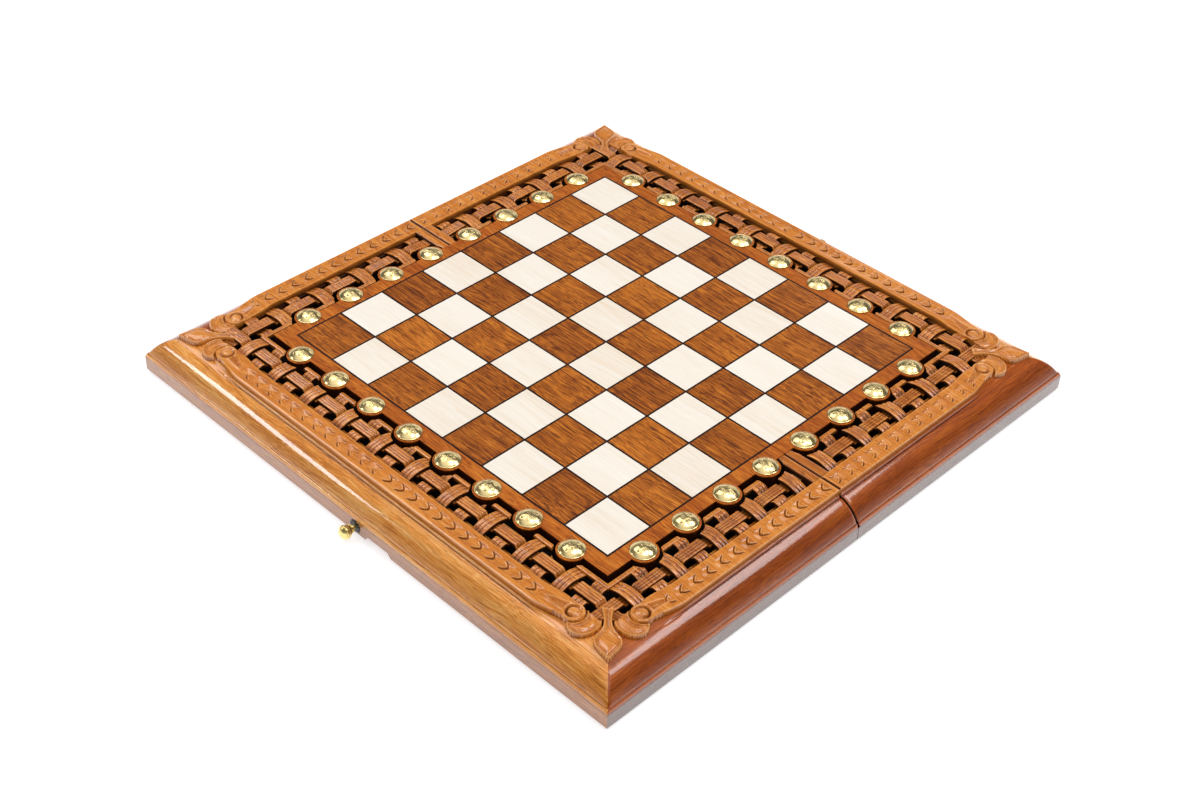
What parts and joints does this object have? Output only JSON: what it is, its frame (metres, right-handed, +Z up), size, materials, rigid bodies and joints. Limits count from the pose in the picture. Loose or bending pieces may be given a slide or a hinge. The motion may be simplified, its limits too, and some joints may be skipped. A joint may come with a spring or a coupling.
{
  "type": "folding chess and backgammon board",
  "caption": "Square folding wooden board with an inlaid chess field in a carved woven border, brass studs, hinges and a hook latch, and a backgammon field inside its trays.",
  "frame": {"origin": "middle of the open board's bottom, under the middle of the fold", "axes": "+X along the fold, +Y across it towards the half with the hook, +Z up out of the chess field"},
  "size_m": [0.5, 0.528, 0.0419],
  "materials": {
    "frame_wood": "polished, honey to red-brown",
    "plate_wood": "polished, mid brown",
    "carved_wood": "polished carving",
    "dark_board": "dark stained",
    "pale_wood": "polished, cream",
    "brown_wood": "polished, streaked brown",
    "black_wood": "polished, near black",
    "inside_wood": "satin, mid brown",
    "stud_brass": "polished",
    "hinge_brass": "satin",
    "latch_brass": "polished",
    "black_metal": "black lacquer"
  },
  "bodies": {
    "near_half": {"near_end_wall": "frame_wood", "near_left_wall": "frame_wood", "near_right_wall": "frame_wood", "near_end_moulding": "frame_wood", "near_left_moulding": "frame_wood", "near_right_moulding": "frame_wood", "near_fold_rail": "frame_wood", "near_base_panel": "dark_board", "near_field_plate": "plate_wood", "near_light_squares": "pale_wood", "near_dark_squares": "brown_wood", "near_string_inlay": "black_wood", "near_laurel_bands": "carved_wood", "near_corner_carvings": "carved_wood", "near_lattice_long_strips": "carved_wood", "near_lattice_cross_strips": "carved_wood", "near_studs": "stud_brass", "near_point_lining": "inside_wood", "near_light_points": "pale_wood", "near_dark_points": "brown_wood", "near_hinge_leaves": "hinge_brass", "near_hinge_screws": "hinge_brass", "hinge_pins": "hinge_brass", "catch_rosette": "black_metal", "catch_post": "latch_brass"},
    "far_half": {"far_end_wall": "frame_wood", "far_left_wall": "frame_wood", "far_right_wall": "frame_wood", "far_end_moulding": "frame_wood", "far_left_moulding": "frame_wood", "far_right_moulding": "frame_wood", "far_fold_rail": "frame_wood", "far_base_panel": "dark_board", "far_field_plate": "plate_wood", "far_light_squares": "pale_wood", "far_dark_squares": "brown_wood", "far_string_inlay": "black_wood", "far_laurel_bands": "carved_wood", "far_corner_carvings": "carved_wood", "far_lattice_long_strips": "carved_wood", "far_lattice_cross_strips": "carved_wood", "far_studs": "stud_brass", "far_point_lining": "inside_wood", "far_light_points": "pale_wood", "far_dark_points": "brown_wood", "far_hinge_leaves": "hinge_brass", "far_hinge_screws": "hinge_brass", "hook_rosette": "black_metal", "hook_post": "latch_brass"},
    "hook": {"hook": "latch_brass"}
  },
  "joints": [
    {"name": "fold", "type": "hinge", "parent": "near_half", "child": "far_half", "pos_m": [0, 0, 0.002], "axis": [-1, 0, 0], "range_deg": [0, 180]},
    {"name": "hook_swing", "type": "hinge", "parent": "far_half", "child": "hook", "pos_m": [0.003, 0.2515, 0.00795], "axis": [0, 1, 0], "range_deg": [-90, 90]}
  ]
}
